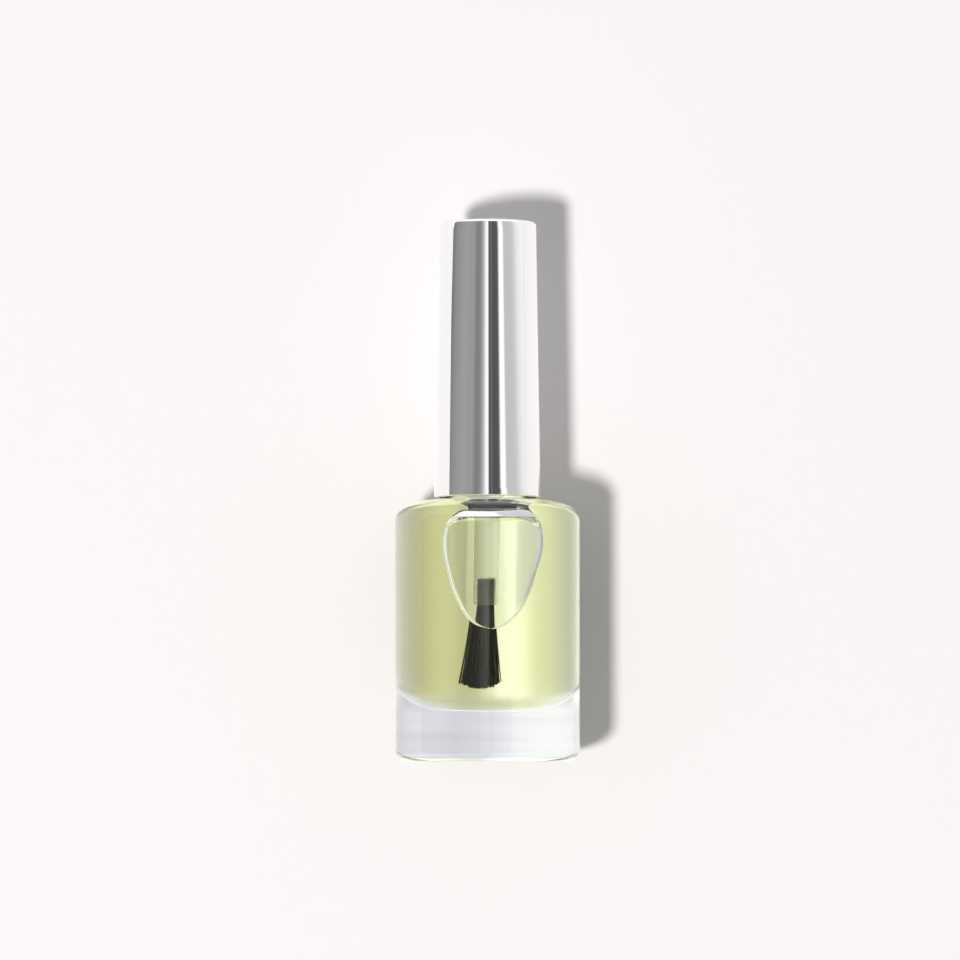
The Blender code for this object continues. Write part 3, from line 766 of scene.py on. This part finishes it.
def bubble_edge():
    """The bubble's edge at even steps along the wall: where, half width and middle, without kinks."""
    table = np.array(BUBBLE_EDGE)
    along = np.linspace(table[0, 0], table[-1, 0], BUBBLE_SAMPLES)
    step = along[1] - along[0]
    at_wall = np.clip(BUBBLE_CORNER_START - along, 0.0, 1.0)
    squared = np.interp(along, table[:, 0], table[:, 1] ** 2)
    middle = np.interp(along, table[:, 0], table[:, 2])
    wide, narrow = BUBBLE_SMOOTHED_OVER
    blended = [
        smoothed(values, step, wide) * at_wall + smoothed(values, step, narrow) * (1.0 - at_wall)
        for values in (squared, middle)
    ]
    return along, np.sqrt(np.maximum(blended[0], 0.0)), blended[1]


def bubble_mesh():
    """The air in the oil: it lies against the front wall, flat at its back and rounded at its edge.

    Its faces look into the air."""
    along, halves, middles = bubble_edge()
    ceiling = list(reversed(cavity_ceiling(2.0 * OIL_FILM)))
    corner = ceiling[0]
    top = ceiling[-1][1]
    tip = BUBBLE_EDGE[0][0] * MM
    shares = np.linspace(0.0, 1.0, BUBBLE_ROWS)[1:] ** 2
    path = chain(
        [(corner[0], tip + (corner[1] - tip) * share) for share in shares],
        *(rows(start, end, BUBBLE_ROW_HEIGHT) for start, end in zip(ceiling, ceiling[1:])),
    )
    slices = []
    level_back = 0.0
    for wall, height in path:
        place = (height + corner[0] - wall) / MM
        half = float(np.interp(place, along, halves)) * MM
        edge = min(BUBBLE_EDGE_RADIUS, BUBBLE_EDGE_MOST * half)
        if height < BUBBLE_LEVEL_HEIGHT:
            level_back = (wall - edge) * math.cos(math.asin((half - edge) / (wall - edge))) - edge
            back = level_back
        else:
            rise = max(0.0, height - top + BUBBLE_TOP_RADIUS) / BUBBLE_TOP_RADIUS
            climb = (height - BUBBLE_LEVEL_HEIGHT) / (top - BUBBLE_LEVEL_HEIGHT)
            back = level_back + BUBBLE_TOP_RADIUS * (1.0 - math.sqrt(1.0 - min(1.0, rise) ** 2))
            back += BUBBLE_TOP_RISE * climb ** 1.5
            edge = min(edge, BUBBLE_EDGE_SHARE * (wall - back))
            if edge < OIL_FILM:
                break
        waist = np.interp(height, BUBBLE_WAIST_HEIGHTS, (0.0, 1.0))
        pinch = max(0.0, half - BUBBLE_WAIST_HALF) * waist ** 2
        middle_deg = float(np.interp(place, along, middles))
        slices.append(bubble_slice(wall, back, half, edge, pinch, middle_deg, height))
    count = len(slices[0])
    last = (len(slices) - 1) * count
    faces = [list(range(count))[::-1], list(range(last, last + count))]
    for low in range(0, last, count):
        for step in range(count):
            after = (step + 1) % count
            faces.append([low + step, low + after, low + count + after, low + count + step])
    mesh = bpy.data.meshes.new("bubble")
    mesh.from_pydata([point for points in slices for point in points], [], faces)
    mesh.flip_normals()
    return mesh


def build_oil():
    """The oil, with the air bubble as a hollow in it whose wall faces the air."""
    profile = [(0.0, OIL_LEVEL)] + cavity_profile(OIL_FILM, OIL_LEVEL)
    materials = [nail_oil("nail_oil", NEXT_TO_NO_IOR, True), nail_oil("nail_oil_at_bubble", OIL_IOR, False)]
    oil = turned("oil_fill", profile, BODY_STEPS, materials)
    work = bmesh.new()
    work.from_mesh(oil.data)
    held = len(work.faces)
    work.from_mesh(bubble_mesh())
    work.faces.ensure_lookup_table()
    for face in work.faces[held:]:
        face.material_index = 1
    work.to_mesh(oil.data)
    work.free()
    return smooth(oil, OIL_SHARP_DEG)


def sleeve_radius(height):
    """Outer radius of the tapered sleeve at a height."""
    share = (height - SLEEVE_FOOT) / (SLEEVE_TOP - SLEEVE_FOOT)
    return SLEEVE_FOOT_RADIUS + (SLEEVE_TOP_RADIUS - SLEEVE_FOOT_RADIUS) * share


def build_sleeve(material):
    """The chromed sleeve: crown, rounded rim, tapered wall and open foot."""
    rim_height = SLEEVE_TOP - SLEEVE_RIM_BEVEL
    rim = arc((sleeve_radius(rim_height) - SLEEVE_RIM_BEVEL, rim_height), SLEEVE_RIM_BEVEL, 90.0, 0.0)
    foot_centre = (SLEEVE_FOOT_RADIUS - SLEEVE_FOOT_EDGE, SLEEVE_FOOT + SLEEVE_FOOT_EDGE)
    foot = arc(foot_centre, SLEEVE_FOOT_EDGE, 0.0, -90.0)
    ceiling = SLEEVE_TOP - SLEEVE_CROWN
    profile = chain(
        rows((0.0, SLEEVE_TOP), rim[0], WALL_ROW_HEIGHT),
        rim,
        rows(rim[-1], foot[0], WALL_ROW_HEIGHT),
        foot,
        [
            (SLEEVE_FOOT_RADIUS - SLEEVE_WALL, SLEEVE_FOOT),
            (sleeve_radius(ceiling) - SLEEVE_WALL, ceiling),
            (0.0, ceiling),
        ],
    )
    return smooth(turned("chromed_sleeve", profile, BODY_STEPS, [material]))


def core_radius(height):
    """Outer radius of the closure between its splines."""
    return sleeve_radius(height) - SLEEVE_WALL - SEAT_GAP - SPLINE_HEIGHT


def build_closure(material):
    """The moulded closure: threaded skirt, socket for the stem's head, web, hollow and splines."""
    top = CLOSURE_HIGH.z
    foot = CLOSURE_LOW.z
    skirt_ceiling = LINER_HIGH.z + SEAT_GAP + STEM_FLANGE_THICKNESS + SEAT_GAP
    socket_radius = STEM_HEAD_RADIUS + SOCKET_GAP
    socket_top = STEM_HIGH.z + SEAT_GAP
    hollow_floor = socket_top + WEB_THICKNESS
    hollow_corner = (HOLLOW_RADIUS - HOLLOW_FLOOR_FILLET, hollow_floor + HOLLOW_FLOOR_FILLET)
    lead_in = (SKIRT_BORE_RADIUS, foot + SKIRT_LEAD_IN)
    profile = chain(
        [(0.0, hollow_floor)],
        arc(hollow_corner, HOLLOW_FLOOR_FILLET, -90.0, 0.0),
        [(HOLLOW_RADIUS, top), (core_radius(top), top), (core_radius(foot), foot)],
        [(SKIRT_BORE_RADIUS + SKIRT_LEAD_IN, foot)],
        rows(lead_in, (SKIRT_BORE_RADIUS, skirt_ceiling), THREAD_ROW_HEIGHT),
        [(socket_radius, skirt_ceiling), (socket_radius, socket_top), (0.0, socket_top)],
    )
    closure = turned("moulded_closure", profile, SMALL_STEPS * 2, [material])
    apply_tree(closure, thread_tree([material]), {
        "Foot": THREAD_FOOT - THREAD_PITCH / 2.0,
        "Wall Radius": SKIRT_BORE_RADIUS,
        "Depth": -THREAD_DEPTH,
    })
    inset = SPLINE_WIDTH / 2.0 - SPLINE_HEIGHT
    apply_tree(closure, spline_tree(material), {
        "Foot Radius": core_radius(foot + SPLINE_WIDTH) - inset,
        "Top Radius": core_radius(top - SPLINE_WIDTH) - inset,
        "Foot": foot + SPLINE_WIDTH,
        "Top": top - SPLINE_WIDTH,
    })
    return smooth(closure)


def build_liner(material):
    """The die-cut liner, its edges softened by the press."""
    outer = LINER_HIGH.x
    inner = STEM_TOP_RADIUS + SEAT_GAP
    edge = (LINER_HIGH.z - LINER_LOW.z) / 4.0
    low, high = LINER_LOW.z + edge, LINER_HIGH.z - edge
    corners = ((inner + edge, high), (outer - edge, high), (outer - edge, low), (inner + edge, low))
    starts = (180.0, 90.0, 0.0, -90.0)
    profile = chain(*(arc(place, edge, start, start - 90.0) for place, start in zip(corners, starts)))
    return smooth(turned("foam_liner", profile, SMALL_STEPS, [material]))


def lean_brush(item):
    """Let the brush hang a little to the left of the axis, from the liner down."""
    for vertex in item.data.vertices:
        vertex.co.x += BRUSH_LEAN * max(0.0, LINER_LOW.z - vertex.co.z)
    item.data.update()
    return item


def build_stem(material):
    """The brush's stem: pressed head, flange, tapered shank and the socket for the tuft."""
    flange_radius = STEM_HIGH.x
    flange_foot = LINER_HIGH.z + SEAT_GAP
    flange_top = flange_foot + STEM_FLANGE_THICKNESS
    end = STEM_LOW.z
    end_edge = arc((STEM_END_RADIUS - STEM_END_BEVEL, end + STEM_END_BEVEL), STEM_END_BEVEL, 0.0, -90.0)
    profile = chain(
        [
            (0.0, STEM_HIGH.z),
            (STEM_HEAD_RADIUS - STEM_HEAD_CHAMFER, STEM_HIGH.z),
            (STEM_HEAD_RADIUS, STEM_HIGH.z - STEM_HEAD_CHAMFER),
            (STEM_HEAD_RADIUS, flange_top),
            (flange_radius, flange_top),
            (flange_radius, flange_foot),
        ],
        rows((STEM_TOP_RADIUS, flange_foot), end_edge[0], WALL_ROW_HEIGHT),
        end_edge,
        [
            (TUFT_SOCKET_RADIUS, end),
            (TUFT_SOCKET_RADIUS, end + TUFT_SOCKET_DEPTH),
            (0.0, end + TUFT_SOCKET_DEPTH),
        ],
    )
    return smooth(lean_brush(turned("stem", profile, SMALL_STEPS, [material])))


def build_tuft(material):
    """The tuft: its folded root, and the bristles that fan out of it."""
    root_top = TUFT_HIGH.z
    root_foot = STEM_LOW.z + SOCKET_GAP
    profile = [(0.0, root_top), (TUFT_ROOT_RADIUS, root_top), (TUFT_ROOT_RADIUS, root_foot), (0.0, root_foot)]
    tuft = turned("bristles", profile, SMALL_STEPS)
    apply_tree(tuft, bristle_tree(material), {
        "Tip Radius": TUFT_HIGH.x - BRISTLE_RADIUS,
        "Root Height": root_foot + SOCKET_GAP,
        "Tip Height": TUFT_LOW.z,
    })
    return smooth(lean_brush(tuft), HAIR_SHARP_DEG)


def build_staple(material):
    """The staple: a sheared strip with its edges broken."""
    size = STAPLE_HIGH - STAPLE_LOW
    centre = (STAPLE_HIGH + STAPLE_LOW) / 2.0
    mesh = bpy.data.meshes.new("staple")
    work = bmesh.new()
    bmesh.ops.create_cube(work, size=1.0)
    bmesh.ops.scale(work, vec=size, verts=work.verts)
    bmesh.ops.translate(work, vec=centre, verts=work.verts)
    bmesh.ops.bevel(work, geom=work.edges[:], offset=STAPLE_EDGE, segments=2, affect="EDGES")
    work.to_mesh(mesh)
    work.free()
    mesh.materials.append(material)
    return smooth(lean_brush(new_object("staple", mesh)))


def build_object():
    """Make every piece, seat it on its body and let it stand for its node."""
    made = [
        (build_glass(), "bottle", "glass_bottle", "flint_glass"),
        (build_oil(), "bottle", "oil", "oil"),
        (build_sleeve(chromed_abs()), "cap", "cap_sleeve", "chromed_sleeve"),
        (build_closure(moulded_polypropylene()), "cap", "inner_cap", "closure_plastic"),
        (build_liner(polyethylene_foam()), "liner", "sealing_liner", "liner_foam"),
        (build_stem(natural_polyethylene()), "cap", "brush_stem", "stem_plastic"),
        (build_tuft(nylon_filament()), "cap", "bristle_tuft", "bristle_nylon"),
        (build_staple(tinned_steel()), "cap", "bristle_staple", "staple_steel"),
    ]
    for piece, body, node, slot in made:
        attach(piece, body)
        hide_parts(node)


# Studio: what metal mirrors, by compass angle from the camera's side rightwards, in degrees
MIRRORED = [
    (-180.0, 1.05), (-91.5, 1.05), (-90.5, 0.15), (-87.0, 0.22), (-82.0, 0.27), (-76.0, 0.31),
    (-63.0, 0.35), (-51.0, 0.385), (-40.0, 0.35), (-33.0, 0.36), (-29.5, 0.31), (-25.0, 0.235),
    (-18.0, 0.255), (-13.0, 0.35), (-9.0, 0.52), (-5.5, 0.85), (-2.0, 1.12), (1.0, 1.12),
    (3.0, 0.09), (6.0, 0.08), (8.2, 0.22), (10.0, 0.10), (21.0, 0.10), (24.5, 0.16),
    (28.0, 1.13), (36.5, 1.13), (39.5, 0.60), (56.0, 0.61), (64.0, 0.69), (72.0, 0.86),
    (80.0, 0.95), (94.0, 1.05),
]

# The panels fan out with height: how much narrower and wider they are at a low and a high slope, in degrees
PANEL_WIDTHS = (0.892, 1.108)
PANEL_SLOPES = (3.0, 8.0)

# What shines through the glass: compass angle from the backdrop's side rightwards, red, green, blue
SHINING_THROUGH = [
    (-90, 1.44, 1.44, 1.44), (-66, 1.24, 1.27, 1.14), (-60, 0.97, 1.00, 0.91), (-56, 0.76, 0.79, 0.73),
    (-51, 0.67, 0.69, 0.65), (-45, 0.62, 0.64, 0.62), (-39, 0.71, 0.71, 0.71), (-33.5, 0.80, 0.80, 0.80),
    (-29, 0.92, 0.91, 0.87), (-25, 0.99, 0.99, 0.95), (-22, 1.06, 1.03, 1.03), (-18.6, 1.17, 1.15, 1.22),
    (-16, 1.29, 1.28, 1.45), (-13, 1.45, 1.45, 1.73), (-10.5, 1.47, 1.47, 1.83), (-8, 1.48, 1.48, 1.97),
    (-5.5, 1.50, 1.50, 2.07), (0, 1.04, 1.01, 1.21), (5, 0.77, 0.75, 0.78), (10, 0.76, 0.73, 0.75),
    (13, 0.84, 0.80, 0.80), (15.5, 0.88, 0.83, 0.82), (18.2, 0.88, 0.85, 0.80), (21.3, 0.84, 0.81, 0.75),
    (25, 0.78, 0.75, 0.66), (28.5, 0.72, 0.69, 0.59), (33, 0.60, 0.575, 0.51),
    (38, 0.56, 0.54, 0.51), (44, 0.57, 0.54, 0.57), (52, 0.58, 0.56, 0.60), (90, 1.20, 1.20, 1.23),
]

# What shines steeply from above and from below, and the slopes in degrees between which it comes in
SHINING_STEEPLY = (1.2, 1.2, 1.28, 1.0)
STEEP_SLOPES = (25.0, 40.0)

# What lights a matt surface from all round
FILL = (0.355, 0.36, 0.364, 1.0)

# Painted glow on the backdrop, seen only through the thick base, standing in for the lamp's light focused by
# the glass: place across the backdrop in millimetres, red, green, blue.
# It has level streaks, and fades out with height
PAINTED_GLOW_THROUGH_BASE = [
    (-3.4, 0.79, 0.78, 0.85), (-3.0, 0.80, 0.79, 0.87), (-2.2, 0.75, 0.74, 0.80), (-1.5, 0.70, 0.69, 0.75),
    (-0.7, 0.74, 0.73, 0.80), (0.0, 0.72, 0.71, 0.76), (0.7, 0.84, 0.83, 0.88), (1.3, 0.90, 0.90, 0.94),
    (2.0, 1.0, 1.0, 1.0), (3.4, 1.03, 1.03, 1.03),
]
PAINTED_GLOW_REACH = 4.0
PAINTED_GLOW_BAND = (10.0 * MM, 7.4 * MM)
GLOW_STREAK_HEIGHT = 1.4 * MM
GLOW_STREAK_STRETCH = (0.13, 1.0, 1.0)
GLOW_STREAK_STRENGTHS = (0.84, 1.18)

# Painted shade on the backdrop, seen only through the glass beside the bubble: place across the backdrop in
# millimetres, and share of what comes through there.
# It comes in with height
PAINTED_SHADE_BEHIND_BUBBLE = [
    (-8.0, 0.95), (-6.6, 1.0), (-5.6, 0.88), (-4.9, 0.83), (-4.2, 0.78), (-3.8, 1.0), (3.9, 1.0), (4.5, 0.72),
    (5.6, 0.66), (8.0, 0.55),
]
SHADE_BEHIND_BUBBLE_REACH = 10.0
SHADE_BEHIND_BUBBLE_BAND = (19.5 * MM, 22.5 * MM)


def ramp(tree, value, stops, reach):
    """A grey or a colour that follows a value through its stops, as far as a reach on both sides of zero."""
    node = add_node(tree, "ShaderNodeValToRGB", {0: spread(tree, value, 0.0, 1.0, -reach, reach)})
    elements = node.color_ramp.elements
    while len(elements) < len(stops):
        elements.new(0.5)
    for element, (at, *shade) in zip(elements, stops):
        element.position = (at + reach) / (2.0 * reach)
        element.color = (*(shade if len(shade) == 3 else shade * 3), 1.0)
    return node


def compass_degrees(tree, parts, side):
    """Compass angle of a direction, from straight ahead on one side of the bottle, rightwards positive."""
    ahead = math_node(tree, "MULTIPLY", parts["Y"], side)
    return math_node(tree, "DEGREES", math_node(tree, "ARCTAN2", parts["X"], ahead))


def build_world():
    """Pale to the camera, banded to metal and glass, and a quiet fill for what is matt."""
    world = bpy.data.worlds.new("studio")
    bpy.context.scene.world = world
    world.use_nodes = True
    tree = world.node_tree
    tree.nodes.clear()
    path = add_node(tree, "ShaderNodeLightPath").outputs
    parts = vector_split(tree, add_node(tree, "ShaderNodeTexCoord").outputs["Generated"])
    slope = math_node(tree, "DEGREES", math_node(tree, "ARCSINE", parts["Z"]))
    fanned = spread(tree, slope, *PANEL_WIDTHS, *PANEL_SLOPES)
    angle = math_node(tree, "MULTIPLY", compass_degrees(tree, parts, -1.0), fanned)
    panels = ramp(tree, angle, MIRRORED, 180.0)
    behind = ramp(tree, compass_degrees(tree, parts, 1.0), SHINING_THROUGH, 90.0)
    glow = blend(tree, math_node(tree, "GREATER_THAN", parts["Y"], 0.0), panels, behind)
    steep = eased(tree, math_node(tree, "ABSOLUTE", slope), *STEEP_SLOPES)
    shown = add_node(tree, "ShaderNodeBackground", {"Color": FILL})
    for kind, colour in (
        ("Is Camera Ray", linear(PAPER)),
        ("Is Glossy Ray", blend(tree, steep, panels, SHINING_STEEPLY)),
        ("Is Transmission Ray", blend(tree, steep, glow, SHINING_STEEPLY)),
    ):
        shown = either(tree, path[kind], shown, add_node(tree, "ShaderNodeBackground", {"Color": colour}))
    add_node(tree, "ShaderNodeOutputWorld", {0: shown})


def backdrop_material():
    """White paper behind the bottle, which keeps its shadow and is clear from behind. Through glass it is
    clear, with painted shade beside the bubble and a painted glow under the bottle's foot, and in mirrors it
    has a painted glow.
    """
    material, tree = new_material("white_paper_backdrop")
    path = add_node(tree, "ShaderNodeLightPath").outputs
    geometry = add_node(tree, "ShaderNodeNewGeometry").outputs
    place = vector_split(tree, geometry["Position"])
    across = math_node(tree, "DIVIDE", place["X"], MM)
    matt = add_node(tree, "ShaderNodeBsdfDiffuse", {"Color": linear(PAPER)})
    # Painted glow: where metal and glass mirror the paper, it shines a little brighter, though it is no lamp
    lift = add_node(tree, "ShaderNodeEmission", {"Color": linear("#ffffff"), "Strength": PAPER_PAINTED_GLOW})
    paper_with_painted_glow = add_node(tree, "ShaderNodeAddShader", {0: matt, 1: lift})
    # Painted shade, seen through glass: the paper lets less through beside the bubble
    beside = ramp(tree, across, PAINTED_SHADE_BEHIND_BUBBLE, SHADE_BEHIND_BUBBLE_REACH)
    tint = blend(tree, eased(tree, place["Z"], *SHADE_BEHIND_BUBBLE_BAND), linear("#ffffff"), beside)
    seen = add_node(tree, "ShaderNodeBsdfTransparent", {"Color": tint})
    # Painted glow, seen through the thick base: level streaks of light in place of the lamp's light focused
    # by the glass
    base = add_node(tree, "ShaderNodeEmission", {
        "Color": ramp(tree, across, PAINTED_GLOW_THROUGH_BASE, PAINTED_GLOW_REACH),
        "Strength": spread(tree, noise(tree, GLOW_STREAK_HEIGHT, GLOW_STREAK_STRETCH), *GLOW_STREAK_STRENGTHS),
    })
    shown = either(tree, path["Is Glossy Ray"], matt, paper_with_painted_glow)
    through = either(tree, eased(tree, place["Z"], *PAINTED_GLOW_BAND), seen, base)
    shown = either(tree, path["Is Transmission Ray"], shown, through)
    shown = either(tree, geometry["Backfacing"], shown, add_node(tree, "ShaderNodeBsdfTransparent"))
    add_node(tree, "ShaderNodeOutputMaterial", {"Surface": shown})
    return material


def build_backdrop():
    """The sheet that the bottle's back touches, facing the camera."""
    place = BOTTLE_RADIUS + BACKDROP_GAP
    mesh = bpy.data.meshes.new("backdrop")
    corners = [(x * BACKDROP_HALF, place, z * BACKDROP_HALF) for x, z in ((-1, -1), (1, -1), (1, 1), (-1, 1))]
    mesh.from_pydata(corners, [], [(0, 1, 2, 3)])
    backdrop = new_object("backdrop", mesh)
    mesh.materials.append(backdrop_material())


# Key lamp: low on the left in front, as the photograph's shadow shows
KEY_PLACE = (-343.0 * MM, -1039.0 * MM, -200.0 * MM)
KEY_RADIUS = 66.0 * MM
KEY_STRENGTH = 0.69
LAMP_SPREAD = 4.0 * math.pi ** 2  # A round lamp divides its strength by this


def build_lights():
    """One round key lamp whose light doesn't fade across the paper."""
    key = bpy.data.lights.new("key", "POINT")
    key.energy = 1.0
    key.shadow_soft_size = KEY_RADIUS
    key.use_nodes = True
    tree = key.node_tree
    tree.nodes.clear()
    fade = add_node(tree, "ShaderNodeLightFalloff", {"Strength": KEY_STRENGTH * LAMP_SPREAD})
    glow = add_node(tree, "ShaderNodeEmission", {"Strength": fade.outputs["Constant"]})
    add_node(tree, "ShaderNodeOutputLight", {0: glow})
    lamp = new_object("key", key)
    lamp.location = KEY_PLACE
    lamp.visible_glossy = False
    lamp.visible_transmission = False


def build_camera():
    """The photograph's view: level with the foot of the bottle, and tilted up to frame it."""
    camera_data = bpy.data.cameras.new("camera")
    camera = new_object("camera", camera_data)
    camera_data.sensor_width = SENSOR_WIDTH
    camera_data.lens = SENSOR_WIDTH * CAMERA_DISTANCE / (FRAME_PIXELS * PIXEL)
    centre_height = (BASE_PIXEL_Y - FRAME_PIXELS / 2.0) * PIXEL
    camera_height = (BASE_PIXEL_Y - HORIZON_PIXEL_Y) * PIXEL
    centre_x = (FRAME_PIXELS / 2.0 - AXIS_PIXEL_X) * PIXEL
    camera.location = (centre_x, -CAMERA_DISTANCE, camera_height)
    aim = Vector((centre_x, 0.0, centre_height)) - camera.location
    camera.rotation_euler = aim.to_track_quat("-Z", "Y").to_euler()
    camera_data.clip_start = CAMERA_NEAR
    camera_data.clip_end = CAMERA_FAR
    bpy.context.scene.camera = camera


build_object()
build_world()
build_backdrop()
build_lights()
build_camera()
bpy.context.scene.view_settings.view_transform = "Standard"
